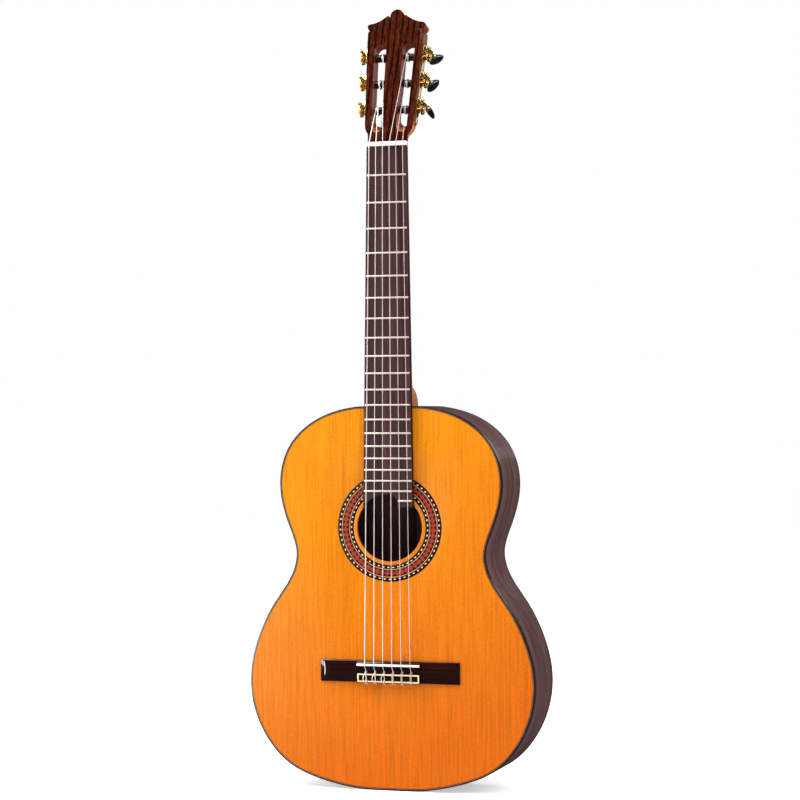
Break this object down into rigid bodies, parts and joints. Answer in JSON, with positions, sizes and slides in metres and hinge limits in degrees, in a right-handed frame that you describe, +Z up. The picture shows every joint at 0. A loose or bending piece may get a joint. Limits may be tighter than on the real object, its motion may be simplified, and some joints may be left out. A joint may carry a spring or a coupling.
{
  "type": "classical guitar",
  "caption": "Slotted-head classical guitar: braced hollow body, fretted neck, tie bridge, nylon strings and worm-geared string rollers.",
  "frame": {"origin": "centre of the flat tail face, halfway through the body's depth at the tail", "axes": "+Z up the neck to the head, -Y out of the soundboard, +X towards the treble side"},
  "size_m": [0.3752, 0.112, 0.988],
  "materials": {
    "cedar_top": "gloss",
    "rosette_mosaic": "gloss",
    "body_rosewood": "satin gloss",
    "binding": "gloss",
    "bridge_rosewood": "gloss",
    "board_rosewood": "satin",
    "headplate_rosewood": "gloss",
    "neck_mahogany": "satin gloss",
    "inner_spruce": "raw",
    "bone": "polished bone",
    "cream_trim": "polished",
    "fret_wire": "polished",
    "wound_string": "silver-plated winding",
    "nylon_string": "clear nylon",
    "gold_plate": "gold plated",
    "gear_brass": "polished",
    "black_roller": "gloss",
    "black_button": "gloss"
  },
  "bodies": {
    "guitar": {"soundboard": "cedar_top", "rosette": "rosette_mosaic", "back": "body_rosewood", "side_treble": "body_rosewood", "side_bass": "body_rosewood", "top_binding": "binding", "top_purfling": "binding", "back_binding": "binding", "end_graft": "binding", "lining_top_treble": "inner_spruce", "lining_top_bass": "inner_spruce", "lining_back_treble": "inner_spruce", "lining_back_bass": "inner_spruce", "tail_block": "neck_mahogany", "heel_block": "neck_mahogany", "harmonic_bar_upper": "inner_spruce", "harmonic_bar_lower": "inner_spruce", "fan_bracing": "inner_spruce", "back_bracing": "inner_spruce", "bridge": "bridge_rosewood", "saddle": "bone", "tie_block_trim": "cream_trim", "neck": "neck_mahogany", "heel_cap": "bridge_rosewood", "headplate": "headplate_rosewood", "fingerboard": "board_rosewood", "frets": "fret_wire", "nut": "bone", "string_1": "nylon_string", "string_2": "nylon_string", "string_3": "nylon_string", "string_4": "wound_string", "string_5": "wound_string", "string_6": "wound_string", "tuner_plate_treble": "gold_plate", "tuner_plate_bass": "gold_plate"},
    "worm_set_1": {"worm_1": "gold_plate", "button_1": "black_button"},
    "roller_set_1": {"roller_1": "black_roller", "gear_1": "gear_brass"},
    "worm_set_2": {"worm_2": "gold_plate", "button_2": "black_button"},
    "roller_set_2": {"roller_2": "black_roller", "gear_2": "gear_brass"},
    "worm_set_3": {"worm_3": "gold_plate", "button_3": "black_button"},
    "roller_set_3": {"roller_3": "black_roller", "gear_3": "gear_brass"},
    "worm_set_4": {"worm_4": "gold_plate", "button_4": "black_button"},
    "roller_set_4": {"roller_4": "black_roller", "gear_4": "gear_brass"},
    "worm_set_5": {"worm_5": "gold_plate", "button_5": "black_button"},
    "roller_set_5": {"roller_5": "black_roller", "gear_5": "gear_brass"},
    "worm_set_6": {"worm_6": "gold_plate", "button_6": "black_button"},
    "roller_set_6": {"roller_6": "black_roller", "gear_6": "gear_brass"}
  },
  "joints": [
    {"name": "worm_spin_1", "type": "hinge", "parent": "guitar", "child": "worm_set_1", "pos_m": [0.04086, -0.02788, 0.86422], "axis": [0, -0.9681, 0.2504], "continuous": true},
    {"name": "roller_spin_1", "type": "hinge", "parent": "guitar", "child": "roller_set_1", "pos_m": [0.03244, -0.03005, 0.85583], "axis": [-0.9989, 0.0117, 0.0453], "continuous": true},
    {"name": "worm_spin_2", "type": "hinge", "parent": "guitar", "child": "worm_set_2", "pos_m": [0.04251, -0.019, 0.89855], "axis": [0, -0.9681, 0.2504], "continuous": true},
    {"name": "roller_spin_2", "type": "hinge", "parent": "guitar", "child": "roller_set_2", "pos_m": [0.0341, -0.02117, 0.89016], "axis": [-0.9989, 0.0117, 0.0453], "continuous": true},
    {"name": "worm_spin_3", "type": "hinge", "parent": "guitar", "child": "worm_set_3", "pos_m": [0.04417, -0.01012, 0.93288], "axis": [0, -0.9681, 0.2504], "continuous": true},
    {"name": "roller_spin_3", "type": "hinge", "parent": "guitar", "child": "roller_set_3", "pos_m": [0.03576, -0.01229, 0.92449], "axis": [-0.9989, 0.0117, 0.0453], "continuous": true},
    {"name": "worm_spin_4", "type": "hinge", "parent": "guitar", "child": "worm_set_4", "pos_m": [-0.04417, -0.01012, 0.93288], "axis": [0, -0.9681, 0.2504], "continuous": true},
    {"name": "roller_spin_4", "type": "hinge", "parent": "guitar", "child": "roller_set_4", "pos_m": [-0.03576, -0.01229, 0.92449], "axis": [-0.9989, -0.0117, -0.0453], "continuous": true},
    {"name": "worm_spin_5", "type": "hinge", "parent": "guitar", "child": "worm_set_5", "pos_m": [-0.04251, -0.019, 0.89855], "axis": [0, -0.9681, 0.2504], "continuous": true},
    {"name": "roller_spin_5", "type": "hinge", "parent": "guitar", "child": "roller_set_5", "pos_m": [-0.0341, -0.02117, 0.89016], "axis": [-0.9989, -0.0117, -0.0453], "continuous": true},
    {"name": "worm_spin_6", "type": "hinge", "parent": "guitar", "child": "worm_set_6", "pos_m": [-0.04086, -0.02788, 0.86422], "axis": [0, -0.9681, 0.2504], "continuous": true},
    {"name": "roller_spin_6", "type": "hinge", "parent": "guitar", "child": "roller_set_6", "pos_m": [-0.03244, -0.03005, 0.85583], "axis": [-0.9989, -0.0117, -0.0453], "continuous": true}
  ],
  "couplings": [
    {"joint": "roller_spin_1", "follows": "worm_spin_1", "ratio": 0.071429},
    {"joint": "roller_spin_2", "follows": "worm_spin_2", "ratio": 0.071429},
    {"joint": "roller_spin_3", "follows": "worm_spin_3", "ratio": 0.071429},
    {"joint": "roller_spin_4", "follows": "worm_spin_4", "ratio": 0.071429},
    {"joint": "roller_spin_5", "follows": "worm_spin_5", "ratio": 0.071429},
    {"joint": "roller_spin_6", "follows": "worm_spin_6", "ratio": 0.071429}
  ]
}
